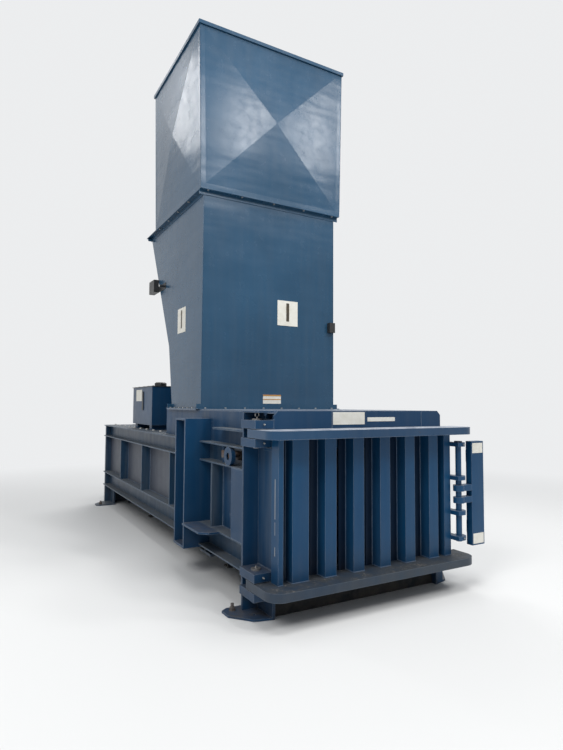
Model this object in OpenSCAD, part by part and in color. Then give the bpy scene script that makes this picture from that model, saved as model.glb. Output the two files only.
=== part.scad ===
// Closed-door horizontal recycling baler with a two-section feed hopper.
// Millimetres. X runs across the machine, +Y from the door to the rear, +Z up.
// The origin is on the ground, in the middle of the front sill's underside.

/* [Bale chamber] */
// Clear width between the wall liners
chamber_w = 1524; // [1440:4:1600]
// Clear height from the floor strips to the roof plate
chamber_h = 860; // [820:2:900]
// Length from the door seat to the front edge of the feed opening
chamber_len = 1500; // [1480:10:1600]
// Length of the feed opening along the machine
throat_len = 860; // [800:10:940]
// Height of the underside of the floor plate above the ground
floor_z = 276; // [270:2:290]
// Thickness of the floor plate
floor_t = 20; // [16:1:25]
// Thickness of the wear strips on the floor
strip_t = 12; // [8:1:16]
// Thickness of the side wall plates
wall_t = 20; // [16:1:24]
// Thickness of the bolted wall liners
liner_t = 12; // [8:1:14]
// Thickness of the roof plate
roof_t = 20; // [16:1:24]
// Thickness of the deck plate and of the ram housing's cover
cover_t = 12; // [10:1:16]
// Width of the wire slots in the door, platen, floor and roof
slot_w = 26; // [20:1:34]
// Distance between neighbouring wire slots
rib_pitch = 255; // [246:1:260]

/* [Side frame] */
// Height of the lower side channel
rail_h = 203; // [180:1:220]
// Height of the upper side channel
upper_rail_h = 168; // [150:2:176]
// Reach of the side channels outward from the wall plate
rail_w = 112; // [96:2:120]
// Wall thickness of the side channels
rail_t = 11; // [8:1:15]
// Thickness of the upright side ribs
side_rib_t = 20; // [12:1:25]
// Width of the middle column across the machine
column_w = 250; // [230:5:280]
// Depth of the middle column along the machine
column_d = 260; // [220:5:280]
// Flange thickness of the middle column
column_flange_t = 20; // [14:1:25]
// Distance from the middle column to the feed opening
column_gap = 90; // [80:2:120]
// Height of the cross beams between the middle columns
cross_h = 172; // [150:2:190]
// Depth of the cross members under the floor
under_h = 120; // [100:5:130]
// Length of the step plate in front of the middle column
step_len = 450; // [300:10:480]
// Thickness of the foot plates
foot_t = 16; // [12:1:25]
// Reach of a foot plate outward from the wall
foot_w = 276; // [264:2:290]
// Length of a foot plate along the machine
foot_len = 330; // [310:5:340]
// Width of the rear posts' plates outward from the wall
rear_post_w = 82; // [70:2:110]
// Thickness of the rear wall
bulkhead_t = 50; // [40:2:60]
// Diameter of the anchor holes in the foot plates
anchor_hole_d = 26; // [22:1:30]

/* [Front frame and door] */
// Height of the front beam over the chamber
beam_h = 289; // [280:1:300]
// Reach of the front beam past the wall on the latch side
beam_over = 46; // [30:2:50]
// Depth of the front sill along the machine
sill_d = 100; // [90:2:110]
// Distance from the sill's middle forward to the door seat
seat_lead = 100; // [90:2:110]
// Depth of the front beam along the machine
beam_d = 150; // [130:5:160]
// Plate thickness of the front beam, sill and posts
beam_t = 20; // [14:1:24]
// Reach of the front post's face plate outward from the wall
post_w = 126; // [120:2:140]
// Distance from the door seat back to the post's face plate
post_back = 230; // [216:2:240]
// Running gap between the closed door and its seat
door_gap = 4; // [3:0.5:8]
// Reach of the door above the chamber's roof
door_over = 158; // [150:1:160]
// Reach of the door below the chamber's floor
door_under = 100; // [90:1:104]
// Reach of the door's plates past the wall on the latch side
door_end = 186; // [170:2:190]
// Thickness of the door's face plate
door_face_t = 12; // [8:1:16]
// Width and depth of the door's square rib tubes
door_rib = 100; // [90:2:104]
// Wall thickness of the door's rib tubes
door_rib_wall = 10; // [6:1:14]
// Extra width of the rib tube next to the hinges
end_rib_extra = 36; // [20:2:40]
// Thickness of the door's top and bottom plates
door_plate_t = 60; // [50:1:64]
// Reach of the door's top and bottom plates in front of the seat
door_reach = 260; // [240:5:280]
// Corner radius of the door's top and bottom plates
door_corner_r = 110; // [80:5:120]
// Diameter of the hinge pins
hinge_pin_d = 50; // [44:1:56]
// Distance of the hinge pins' axis behind the door seat
hinge_back = 110; // [100:2:120]
// Radius of the hinge ears round the pins
hinge_ear_r = 70; // [60:1:72]
// Thickness of the fixed hinge lugs
hinge_lug_t = 60; // [40:1:60]

/* [Door latch] */
// Distance between the latch bar's ends and the door's ends
latch_gap = 125; // [120:1:140]
// Distance between the two hooks of the latch bar
hook_gap = 600; // [560:10:620]
// Reach of the keeper bar past the wall
keeper_w = 56; // [50:1:60]
// Thickness of the keeper bar
keeper_t = 30; // [20:1:32]
// Width of the latch bar
latch_w = 145; // [130:5:150]
// Thickness of the latch bar
latch_t = 60; // [50:1:64]
// Distance from the latch pin to the near edge of the latch bar
latch_reach = 125; // [115:1:130]
// Diameter of the latch pin
latch_pin_d = 48; // [40:1:52]
// Thickness of one latch arm
latch_arm_t = 50; // [40:1:56]
// Reach of the latch bar's hooks
hook_reach = 60; // [50:1:64]

/* [Hopper] */
// Height of the lower hopper section
lower_h = 2143; // [1900:1:2300]
// Height of the upper hopper section
upper_h = 1665; // [1400:5:1750]
// Clear width of the hopper at its top
hopper_top_w = 1690; // [1640:2:1760]
// Length of the upper hopper section along the machine
upper_len = 1488; // [1400:4:1600]
// Length of the lower section's top along the machine
lower_top_len = 1775; // [1700:5:1900]
// Height of the back wall's fold above the hopper's base
fold_h = 693; // [600:5:800]
// Distance the back wall leans out below its fold
fold_out = 138; // [60:2:150]
// Sheet thickness of the hopper panels
sheet_t = 6; // [4:0.5:8]
// Rise of the diagonal creases in the upper panels
crease_rise = 36; // [12:1:44]
// Flat border round the creased field of the upper panels
crease_border = 50; // [40:2:70]
// Leg width of the hopper's angle flanges
angle_w = 50; // [44:1:55]
// Leg thickness of the hopper's angle flanges
angle_t = 6; // [5:0.5:8]
// Width of the rim bar round the hopper's top
rim_w = 15; // [10:1:25]
// Height of the rim bar round the hopper's top
rim_h = 35; // [25:1:45]
// Pitch of the bolts across the base flange
base_pitch = 210; // [180:5:300]
// Pitch of the bolts along the base flange
base_side_pitch = 125; // [110:5:200]
// Pitch of the bolts where the two hopper sections meet
mid_pitch = 364; // [300:4:400]
// Distance of the outer flange bolts from the flange's ends
bolt_end = 60; // [50:2:80]
// Width of the number plates
plate_w = 244; // [200:4:260]
// Height of the number plates
plate_h = 264; // [220:4:280]
// Diameter of the hopper's flange bolts
bolt_d = 12; // [8:1:14]

/* [Ram] */
// Travel of the ram
stroke = 1340; // [1200:10:1340]
// Distance of the drawn-back platen behind the feed opening
ram_rest = 40; // [34:1:60]
// Length of the platen along the machine
platen_len = 380; // [340:5:400]
// Side clearance of the platen in the chamber
platen_gap = 7; // [5:1:10]
// Thickness of the platen's face plate
platen_face_t = 25; // [20:1:32]
// Length of the skirt that trails behind the platen
skirt_len = 1120; // [1060:10:1160]
// Plate thickness of the skirt
skirt_t = 12; // [8:1:16]
// Bore diameter of the main cylinder
bore_d = 200; // [180:5:220]
// Wall thickness of the main cylinder
barrel_wall = 20; // [15:1:25]
// Diameter of the piston rod
rod_d = 125; // [100:5:140]
// Length of the piston rod that shows when the ram is back
rod_show = 220; // [200:5:240]
// Length of the cylinder beyond the ram's travel
barrel_extra = 460; // [440:5:500]
// Distance from the cylinder's end to its mount pin
mount_len = 100; // [90:2:120]
// Distance from the cylinder's mount pin to the rear wall
mount_gap = 300; // [280:5:340]

/* [Bale dogs] */
// Height of one bale dog
dog_h = 60; // [50:2:70]
// Distance from the dog's pin to its nose
dog_len = 240; // [220:5:260]
// Reach of the dog's nose into the chamber
dog_reach = 42; // [30:1:44]
// Distance from the middle column to a dog's pin
dog_gap = 387; // [380:1:420]
// Length of the dog's spring can
can_len = 36; // [30:1:40]

/* [Power unit] */
// Length of the oil tank along the machine
tank_len = 900; // [800:10:960]
// Width of the oil tank across the machine
tank_w = 800; // [700:10:820]
// Height of the oil tank
tank_h = 480; // [420:10:520]
// Height of the oil tank's feet
tank_foot = 60; // [40:5:80]
// Distance from the feed opening to the oil tank
tank_gap = 840; // [800:10:900]
// Distance from the middle of the machine to the tank's outer side
tank_side = 750; // [730:5:780]
// Distance of the motor's shaft from the middle of the machine
drive_x = 350; // [340:5:380]
// Height of the motor's shaft above the housing
drive_h = 210; // [200:5:240]
// Diameter of the motor's frame
motor_d = 300; // [260:5:320]
// Length of the motor's frame
motor_len = 430; // [380:5:450]
// Diameter of the hydraulic pipes
pipe_d = 38; // [25:1:42]

/* [Hidden] */

$fn = 48;
blue = [0.15, 0.29, 0.43];
steel = [0.55, 0.56, 0.57];
worn = [0.36, 0.33, 0.30];
dark = [0.12, 0.12, 0.13];

// Faces of different bodies that face each other keep this gap
seat = 0.3;
// Radial clearance of a pin in its bore
fit = 0.05;
half_in = chamber_w / 2;
half_plate = half_in + liner_t;
half_out = half_plate + wall_t;
rail_out = half_out + rail_w;
floor_top = floor_z + floor_t;
strip_top = floor_top + strip_t;
roof_z = strip_top + chamber_h;
roof_top = roof_z + roof_t;
house_top = roof_z + cover_t;
beam_top = roof_z + beam_h;
deck_z = beam_top - cover_t;
column_top = roof_top + cross_h;
upper_rail_z = house_top - upper_rail_h;
rail_top = floor_z + rail_h;
shelf_z = (house_top + deck_z) / 2 - 18;
slot_xs = [for (i = [-2:2]) i * rib_pitch];

seat_y = -seat_lead;
throat_y = seat_y + chamber_len;
throat_end = throat_y + throat_len;
deck_end = throat_end + 2 * angle_w;
column_y = throat_y - column_gap - column_d;
column_end = column_y + column_d;
post_y = seat_y + post_back + beam_t;
tube_end = post_y + 2 * rail_w;

ram_y = throat_end + ram_rest;
ram_z = strip_top + seat;
ram_top = roof_z - 5;
ram_half = half_in - platen_gap;
slot_d = 150;
cyl_z = (ram_z + ram_top) / 2;
barrel_y = ram_y + platen_len + rod_show;
barrel_len = stroke + barrel_extra;
mount_y = barrel_y + barrel_len + mount_len;
rear_y = mount_y + mount_gap;
pin_gap = 55;

rear_run = rear_y - column_end;
rib_ys = [column_y - column_d,
    for (k = [0.16, 0.44, 0.72]) column_end + k * rear_run];
anchor_spots = [[half_plate + foot_w - 70, seat_y + foot_len - 60],
    [half_plate + foot_w - 170, seat_y + foot_len - 210]];

hinge_x = half_out + 8 + hinge_ear_r;
hinge_y = seat_y + hinge_back;
door_left = hinge_x + hinge_ear_r;
door_right = half_out + door_end;
door_z = strip_top - door_under;
door_top = roof_z + door_over;
face_y = seat_y - door_gap - door_face_t;

latch_x = half_out + 96;
latch_y = seat_y - 150;
latch_z = (door_z + door_top) / 2;
latch_len = door_top - door_z - 2 * latch_gap;
lug_zs = [latch_z - 0.41 * latch_len, latch_z - 3 * latch_arm_t,
    latch_z + 2.7 * latch_arm_t, latch_z + 0.475 * latch_len];
hook_zs = [latch_z - hook_gap / 2, latch_z + hook_gap / 2];

dog_y = column_y - dog_gap;
dog_x = half_out + 45;
dog_z = upper_rail_z + upper_rail_h / 2;
can_y = dog_y - dog_len + 10;
can_d = upper_rail_h - 2 * rail_t - 2 * seat;
can_x = rail_out + 6 - can_len;

mid_z = beam_top + lower_h;
top_z = mid_z + upper_h;
mid_half = half_in + angle_w;
upper_y = throat_y - angle_w;
upper_end = upper_y + upper_len;
upper_lean = atan((hopper_top_w / 2 - mid_half) / upper_h);
fold_y = throat_end + fold_out;
fold_z = beam_top + fold_h;
ledge_y = throat_y + lower_top_len;
rear_slope = (ledge_y - fold_y) / (lower_h - fold_h);
eye_z = mid_z - 0.34 * lower_h;
eye_y = fold_y + rear_slope * (eye_z - fold_z);

pipe_ys = [mount_y - 260, mount_y - 180];
tank_x = -tank_side;
tank_y = throat_end + tank_gap;
tank_z = house_top + tank_foot;
axis_z = house_top + drive_h;
bell_y = tank_y + motor_len;

// An outline in X and Z, drawn out along Y
module along_y(y0, y1) {
    translate([0, y1, 0]) rotate([90, 0, 0]) linear_extrude(y1 - y0) children();
}

// An outline in Y and Z, drawn out along X
module along_x(x0, x1) {
    translate([x0, 0, 0]) rotate([90, 0, 90]) linear_extrude(x1 - x0) children();
}

// A block between two corners
module block(low, high) {
    translate(low) cube(high - low);
}

// The same shape on both sides of the machine
module both_sides() {
    children();
    mirror([1, 0, 0]) children();
}

// One shape for each lane between the wire slots, from the left wall to the right
module lanes_mid() {
    for (i = [-2:3]) translate([(i - 0.5) * rib_pitch, 0, 0]) children();
}

// A hexagon-headed bolt along Z, its head below zero and its nut above the grip
module bolt(d, grip) {
    translate([0, 0, -0.65 * d]) cylinder(d = 1.8 * d, h = 0.65 * d, $fn = 6);
    cylinder(d = d, h = grip + 1.1 * d);
    translate([0, 0, grip]) cylinder(d = 1.8 * d, h = 0.8 * d, $fn = 6);
}

// A channel's outline with its web at x = 0 and its toes at x = w
module channel_section(w, h, t) {
    difference() {
        square([w, h]);
        translate([t, t]) square([w, h - 2 * t]);
    }
}

// A wide-flange outline with its flanges across Y
module column_section(w, d, flange, web) {
    difference() {
        square([w, d]);
        for (x = [-1, (w + web) / 2]) translate([x, flange])
            square([(w - web) / 2 + 1, d - 2 * flange]);
    }
}

// A wide-flange outline with its flanges level
module beam_section(w, h) {
    difference() {
        square([w, h]);
        for (y = [-1, w / 2 + 6]) translate([y, beam_t])
            square([w / 2 - 5, h - 2 * beam_t]);
    }
}

// One block for each of the six lanes between the wire slots
module lanes(reach, y0, y1, z0, z1) {
    for (i = [-1:2]) translate([(i - 0.5) * rib_pitch, 0, 0])
        block([(slot_w - rib_pitch) / 2, y0, z0], [(rib_pitch - slot_w) / 2, y1, z1]);
    both_sides() block([2 * rib_pitch + slot_w / 2, y0, z0], [reach, y1, z1]);
}

// The window for a bale dog in the right wall, its liner and its channel
module dog_window() {
    block([half_in - 1, dog_y - dog_len - 34, dog_z - dog_h / 2 - 6],
        [half_out + rail_t + 1, dog_y + 34, dog_z + dog_h / 2 + 6]);
}

// An angle bar's outline with its upright leg leaning outward by a shift
module angle_section(shift) {
    polygon([[0, 0], [angle_w, 0], [angle_w, angle_t],
        [angle_t + shift * angle_t / angle_w, angle_t], [angle_t + shift, angle_w],
        [shift, angle_w]]);
}

// Four angle bars round a hopper opening, with their upright legs on its walls
module angle_ring(half, y0, y1, rear_shift) {
    translate([0, y0, 0]) mirror([0, 1, 0])
        along_x(-half - angle_w, half + angle_w) angle_section(0);
    translate([0, y1, 0])
        along_x(-half - angle_w, half + angle_w) angle_section(rear_shift);
    both_sides() translate([half, 0, 0]) along_y(y0 + seat, y1 - seat) angle_section(0);
}

// Four angle bars inside a hopper opening, with their upright legs on its walls
module inner_ring(half, y0, y1, side_shift) {
    translate([0, y0, 0]) along_x(angle_w - half, half - angle_w) angle_section(0);
    translate([0, y1, 0]) mirror([0, 1, 0])
        along_x(angle_w - half, half - angle_w) angle_section(0);
    both_sides() translate([half, 0, 0]) mirror([1, 0, 0])
        along_y(y0 + seat, y1 - seat) angle_section(-side_shift);
}

// Four flat bars round a hopper opening
module bar_ring(half, y0, y1, w, h) {
    for (y = [y0 - w, y1]) block([-half - w, y, 0], [half + w, y + w, h]);
    both_sides() block([half, y0 + seat, 0], [half + w, y1 - seat, h]);
}

// Evenly spaced positions between two flange ends
function spread(a, b, pitch) =
    let (room = b - a - 2 * bolt_end, n = round(room / pitch))
    [for (i = [0:n]) a + bolt_end + room * i / n];

// One child at each bolt of a flange whose bolt lines are given
module flange_spots(half, y0, y1, pitch, side_pitch) {
    for (x = spread(-half, half, pitch), y = [y0, y1]) translate([x, y, 0]) children();
    for (y = spread(y0, y1, side_pitch), side = [-1, 1])
        translate([side * half, y, 0]) children();
}

module base_spots() {
    line = sheet_t + angle_w / 2;
    flange_spots(half_in + line, throat_y - line, throat_end + line, base_pitch,
        base_side_pitch) children();
}

module mid_spots() {
    line = sheet_t + angle_w / 2;
    flange_spots(half_in + line, throat_y - line, upper_end - angle_w / 2, mid_pitch,
        mid_pitch) children();
}

module bolt_hole(depth) {
    translate([0, 0, -depth]) cylinder(d = bolt_d + 0.6, h = 2 * depth);
}

module floor_plate() {
    color(worn) block([-half_plate, seat_y, floor_z], [half_plate, rear_y, floor_top]);
}

module floor_wear_strips() {
    color(steel) lanes(half_in, seat_y, rear_y - 20, floor_top, strip_top);
}

module side_wall() {
    difference() {
        along_x(half_plate, half_out) polygon([[seat_y, floor_z], [rear_y, floor_z],
            [rear_y, roof_z], [deck_end, roof_z], [deck_end, deck_z],
            [seat_y + beam_d, deck_z], [seat_y + beam_d, roof_z], [seat_y, roof_z]]);
        dog_window();
    }
}

module side_wall_left() {
    color(blue) mirror([1, 0, 0]) side_wall();
}

module side_wall_right() {
    color(blue) side_wall();
}

module wall_liners() {
    panel_l = (throat_end - seat_y) / 3;
    color(steel) both_sides() difference() {
        for (i = [0:2]) translate([0, seat_y + i * panel_l, 0])
            block([half_in, 0, floor_top], [half_plate, panel_l - 2, roof_z]);
        dog_window();
    }
}

module roof_plate() {
    color(worn) lanes(half_plate, seat_y + beam_d, throat_y - 30, roof_z, roof_top);
}

module roof_stiffeners() {
    color(blue) {
        lanes_mid() block([-beam_t / 2, seat_y + beam_d, roof_top],
            [beam_t / 2, column_y, deck_z]);
        both_sides() block([half_out, post_y + 2 * beam_t, shelf_z],
            [rail_out - rail_t, column_y - column_d, shelf_z + foot_t]);
    }
}

module deck_plate() {
    ledge = half_in + sheet_t + angle_w + 2;
    color(blue) difference() {
        union() {
            block([-half_out, seat_y + beam_d, deck_z], [half_out, throat_y, beam_top]);
            both_sides() block([half_in, throat_y + seat, deck_z],
                [ledge, throat_end - seat, beam_top]);
            block([-half_out, throat_end, deck_z], [half_out, deck_end, beam_top]);
        }
        translate([0, 0, beam_top]) base_spots() bolt_hole(20);
    }
}

module front_top_beam() {
    chamfer = 35;
    right = half_out + beam_over;
    color(blue) difference() {
        along_y(seat_y, seat_y + beam_d) translate([0, roof_z]) polygon([[-half_out, 0],
            [right, 0], [right, beam_h - chamfer], [right - chamfer, beam_h],
            [chamfer - half_out, beam_h], [-half_out, beam_h - chamfer]]);
        block([-half_out - 1, seat_y + beam_t, roof_z + beam_t],
            [right + 1, seat_y + beam_d - beam_t, beam_top - beam_t]);
        for (x = slot_xs) block([x - slot_w / 2, seat_y - 1, roof_z - 1],
            [x + slot_w / 2, seat_y + beam_d + 1, roof_z + beam_t / 2]);
    }
}

module front_sill() {
    r = sill_d / 2;
    color(blue) difference() {
        block([-half_plate, -r, 0], [half_plate, r, floor_z]);
        block([-half_plate - 1, beam_t - r, beam_t],
            [half_plate + 1, r - beam_t, floor_z - beam_t]);
    }
}

module foot_plate() {
    difference() {
        linear_extrude(foot_t) translate([half_plate, seat_y]) polygon([[0, 0],
            [0.52 * foot_w, 0.11 * foot_len], [0.99 * foot_w, 0.58 * foot_len],
            [foot_w, 0.9 * foot_len], [0.83 * foot_w, foot_len], [0, foot_len]]);
        for (p = anchor_spots) translate([p[0], p[1], -1])
            cylinder(d = anchor_hole_d, h = foot_t + 2);
    }
}

module front_post() {
    foot_plate();
    block([half_plate, seat_y, foot_t], [half_out, post_y, floor_z]);
    block([half_out, post_y - beam_t, foot_t], [half_out + post_w, post_y, deck_z]);
    difference() {
        block([half_out, post_y, rail_top], [rail_out, tube_end, upper_rail_z]);
        block([half_out + 12, post_y + 12, rail_top - 1],
            [rail_out - 12, tube_end - 12, upper_rail_z + 1]);
    }
}

module front_post_left() {
    color(blue) mirror([1, 0, 0]) {
        front_post();
        block([half_out, seat_y, deck_z], [half_out + post_w, post_y, beam_top]);
    }
}

module front_post_right() {
    color(blue) front_post();
}

module side_rails() {
    runs = [[post_y, column_y], [column_end, rear_y]];
    color(blue) both_sides() difference() {
        for (run = runs) {
            along_y(run[0], run[1]) translate([half_out, floor_z])
                channel_section(rail_w, rail_h, rail_t);
            along_y(run[0], run[1]) translate([half_out, upper_rail_z])
                channel_section(rail_w, upper_rail_h, rail_t);
        }
        dog_window();
    }
}

module side_ribs() {
    color(blue) both_sides() for (y = rib_ys)
        block([half_out, y - side_rib_t / 2, rail_top],
            [rail_out - 8, y + side_rib_t / 2, upper_rail_z]);
}

module mid_columns() {
    step_z = rail_top - foot_t;
    color(blue) both_sides() {
        translate([half_out, column_y, floor_z - beam_t])
            linear_extrude(column_top - floor_z + beam_t)
            column_section(column_w, column_d, column_flange_t, 12);
        block([half_out, column_y, column_top],
            [half_out + column_w, column_end, column_top + foot_t]);
        block([half_out, column_y, floor_z - beam_t],
            [half_out + column_w, column_end, floor_z]);
        difference() {
            block([rail_out, column_y - step_len, step_z],
                [half_out + column_w + foot_t, column_y, rail_top]);
            translate([half_out + column_w + foot_t, column_y - step_len, step_z - 1])
                rotate([0, 0, 45]) cube([90, 90, 60], center = true);
        }
    }
}

module mid_cross_beams() {
    color(blue) {
        along_x(-half_plate, half_plate) translate([column_y, roof_top])
            beam_section(column_d, cross_h);
        along_x(-half_out, half_out) translate([column_y, floor_z - under_h])
            beam_section(column_d, under_h);
    }
}

module floor_crossmembers() {
    color(blue) for (y = [(tube_end + column_y) / 2, rib_ys[1], rib_ys[2], rib_ys[3]])
        along_x(-half_out, half_out) translate([y - 40, floor_z - under_h])
            channel_section(80, under_h, 10);
}

module rear_posts() {
    color(blue) both_sides() {
        block([half_plate, rear_y, foot_t],
            [half_out + rear_post_w, rear_y + bulkhead_t, house_top]);
        block([half_plate, rear_y - post_back, foot_t], [half_out, rear_y, floor_z]);
        translate([0, rear_y + bulkhead_t + seat_y, 0]) mirror([0, 1, 0]) foot_plate();
    }
}

module rear_bulkhead() {
    lug_z0 = cyl_z - 100;
    color(blue) {
        block([-half_plate, rear_y, 0], [half_plate, rear_y + bulkhead_t, house_top]);
        for (x = [-420, 0, 420]) block([x - 15, rear_y + bulkhead_t, floor_z],
            [x + 15, rear_y + bulkhead_t + 100, house_top]);
        both_sides() along_x(pin_gap, pin_gap + 40) difference() {
            union() {
                translate([mount_y, lug_z0]) square([rear_y - mount_y - seat, 200]);
                translate([mount_y, cyl_z]) circle(100);
            }
            translate([mount_y, cyl_z]) circle(40 + fit);
        }
    }
}

module housing_cover() {
    color(blue) difference() {
        union() {
            block([-half_out, deck_end, roof_z], [half_out, rear_y, house_top]);
            block([-half_plate, throat_end, roof_z], [half_plate, deck_end, house_top]);
        }
        for (y = pipe_ys) translate([0, y, roof_z - 1])
            cylinder(d = pipe_d + 12, h = cover_t + 2);
    }
}

module throat_frame() {
    color(worn) {
        block([-half_plate, throat_y - 20, roof_z + 60], [half_plate, throat_y, deck_z]);
        block([-half_plate, throat_end, house_top], [half_plate, throat_end + 20, deck_z]);
        both_sides() block([half_in, throat_y + seat, roof_z],
            [half_plate, throat_end - seat, deck_z]);
    }
}

module fixed_shear_blade() {
    color(steel) difference() {
        block([-half_plate, throat_y - 30, roof_z], [half_plate, throat_y, roof_z + 60]);
        for (x = slot_xs) translate([x, throat_y - 31, roof_z + 30]) rotate([-90, 0, 0])
            cylinder(d = 20, h = 32);
    }
}

module hinge_lug() {
    linear_extrude(hinge_lug_t) difference() {
        translate([half_out, seat_y])
            square([hinge_x + hinge_ear_r - half_out, post_back]);
        translate([hinge_x, hinge_y]) circle(hinge_pin_d / 2 + fit);
    }
}

module hinge_lugs() {
    color(blue) mirror([1, 0, 0]) for (ear_z = [door_z, door_top - door_plate_t]) {
        translate([0, 0, ear_z - 5 - hinge_lug_t]) hinge_lug();
        translate([0, 0, ear_z + door_plate_t + 5]) hinge_lug();
    }
}

module hinge_pins() {
    pin_l = door_plate_t + 10 + 2 * hinge_lug_t;
    color(steel) for (ear_z = [door_z, door_top - door_plate_t])
        translate([-hinge_x, hinge_y, ear_z - 5 - hinge_lug_t]) {
            translate([0, 0, -12]) cylinder(d = hinge_pin_d, h = pin_l + 12);
            translate([0, 0, pin_l]) cylinder(d = hinge_pin_d + 22, h = 10);
            translate([0, 0, pin_l + 10]) cylinder(d1 = 16, d2 = 8, h = 16);
        }
}

module latch_keeper() {
    color(blue) block([half_out, seat_y, foot_t],
        [half_out + keeper_w, seat_y + keeper_t, roof_z]);
}

module anchor_bolts() {
    color(steel) for (side = [-1, 1], back = [0, 1]) {
        spot = anchor_spots[0];
        y = back == 0 ? spot[1] : rear_y + bulkhead_t + seat_y - spot[1];
        translate([side * spot[0], y, 0]) {
            cylinder(d = anchor_hole_d - 2, h = foot_t + 50);
            translate([0, 0, foot_t]) cylinder(d = 50, h = 4);
            translate([0, 0, foot_t + 4]) cylinder(d = 40, h = 20, $fn = 6);
        }
    }
}

// A hopper wall's outline in X and Z with its half widths at both ends
module wall_outline(half0, half1, h) {
    polygon([[-half0, 0], [half0, 0], [half1, h], [-half1, h]]);
}

module lower_hopper() {
    outer = half_in + sheet_t;
    color(blue) {
        block([-outer, throat_y - sheet_t, beam_top], [outer, throat_y, mid_z]);
        both_sides() along_x(half_in, outer) polygon([[throat_y + seat, beam_top],
            [throat_end + sheet_t, beam_top], [fold_y + sheet_t, fold_z],
            [ledge_y + sheet_t, mid_z], [throat_y + seat, mid_z]]);
        along_x(seat - half_in, half_in - seat) {
            polygon([[throat_end, beam_top], [throat_end + sheet_t, beam_top],
                [fold_y + sheet_t, fold_z], [fold_y, fold_z]]);
            polygon([[fold_y, fold_z + seat], [fold_y + sheet_t, fold_z + seat],
                [ledge_y + sheet_t, mid_z], [ledge_y, mid_z]]);
        }
        difference() {
            block([1 - half_in, upper_end - angle_w, mid_z - angle_t],
                [half_in - 1, ledge_y - angle_t, mid_z]);
            translate([0, 0, mid_z]) mid_spots() bolt_hole(20);
        }
    }
}

// A cross-broken sheet, flat at its border and raised to a peak in the middle
module creased_panel(w0, w1, h) {
    field = [[crease_border - w0 / 2, crease_border - h / 2],
        [w0 / 2 - crease_border, crease_border - h / 2],
        [w1 / 2 - crease_border, h / 2 - crease_border],
        [crease_border - w1 / 2, h / 2 - crease_border]];
    difference() {
        union() {
            linear_extrude(sheet_t) wall_outline(w0 / 2, w1 / 2, h);
            translate([0, h / 2, sheet_t])
                linear_extrude(crease_rise, scale = 0) polygon(field);
        }
        translate([0, h / 2, -0.5]) linear_extrude(crease_rise, scale = 0) polygon(field);
    }
}

module upper_hopper() {
    end_w0 = 2 * (mid_half + sheet_t);
    end_w1 = hopper_top_w + 2 * sheet_t;
    side_w = upper_len - 2 * seat;
    color(blue) {
        translate([0, upper_y, mid_z]) rotate([90, 0, 0])
            creased_panel(end_w0, end_w1, upper_h);
        translate([0, upper_end, mid_z]) rotate([90, 0, 180])
            creased_panel(end_w0, end_w1, upper_h);
        both_sides() translate([mid_half, (upper_y + upper_end) / 2, mid_z + seat])
            rotate([0, upper_lean, 0]) rotate([90, 0, 90])
            creased_panel(side_w, side_w, (upper_h - seat) / cos(upper_lean));
    }
}

module hopper_base_flange() {
    color(blue) translate([0, 0, beam_top]) difference() {
        angle_ring(half_in + sheet_t, throat_y - sheet_t, throat_end + sheet_t + seat,
            angle_w * fold_out / fold_h);
        base_spots() bolt_hole(20);
    }
}

module hopper_mid_flange() {
    color(blue) translate([0, 0, mid_z]) difference() {
        union() {
            mirror([0, 0, 1]) angle_ring(half_in + sheet_t, throat_y - sheet_t,
                ledge_y + sheet_t + seat, -angle_w * rear_slope);
            inner_ring(mid_half - seat, upper_y + seat, upper_end - seat,
                angle_w * tan(upper_lean));
        }
        mid_spots() bolt_hole(20);
    }
}

module hopper_top_flange() {
    color(blue) translate([0, 0, top_z - rim_h])
        bar_ring(hopper_top_w / 2 + sheet_t + seat, upper_y - sheet_t - seat,
            upper_end + sheet_t + seat, rim_w, rim_h);
}

module hopper_bolts() {
    base_grip = angle_t + cover_t;
    color(steel) {
        translate([0, 0, beam_top + angle_t]) base_spots() {
            cylinder(d = 1.8 * bolt_d, h = 0.65 * bolt_d, $fn = 6);
            translate([0, 0, -base_grip]) cylinder(d = bolt_d, h = base_grip + 1);
        }
        translate([0, 0, mid_z - angle_t]) mid_spots() bolt(bolt_d, 2 * angle_t);
    }
}

module photo_eyes() {
    wall = half_in + sheet_t;
    front = throat_y - sheet_t;
    color(dark) {
        both_sides() translate([wall, eye_y, eye_z]) {
            block([0, -230, -30], [4, 240, 40]);
            translate([4, -196, 0]) rotate([0, 90, 0]) cylinder(d = 30, h = 60);
            block([4, 40, -30], [64, 240, 120]);
        }
        block([half_in - 70, front - 50, eye_z - 0.27 * lower_h],
            [half_in, front, eye_z - 0.22 * lower_h]);
    }
}

module number_plates() {
    plate_z = fold_z + 180;
    color(steel) {
        block([64, throat_y - sheet_t - 3, plate_z],
            [64 + plate_w, throat_y - sheet_t, plate_z + plate_h]);
        mirror([1, 0, 0]) block([half_in + sheet_t, throat_end - plate_w - 152, plate_z - 72],
            [half_in + sheet_t + 3, throat_end - 152, plate_z - 72 + plate_h]);
    }
}

module door_plate() {
    w = door_left + door_right;
    d = door_reach - door_gap;
    linear_extrude(door_plate_t) difference() {
        union() {
            difference() {
                translate([-door_left, seat_y - door_reach]) square([w, d]);
                translate([-door_left, seat_y - door_reach]) corner_waste(door_corner_r);
                translate([door_right, seat_y - door_reach]) mirror([1, 0])
                    corner_waste(door_corner_r);
            }
            translate([-door_left, seat_y - door_reach / 2])
                square([2 * hinge_ear_r, hinge_back + door_reach / 2]);
            translate([-hinge_x, hinge_y]) circle(hinge_ear_r);
        }
        translate([-hinge_x, hinge_y]) circle(hinge_pin_d / 2 + fit);
    }
}

// The material outside a rounded corner whose point is at the origin
module corner_waste(r) {
    difference() {
        translate([-1, -1]) square(r + 1);
        translate([r, r]) circle(r);
    }
}

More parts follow.
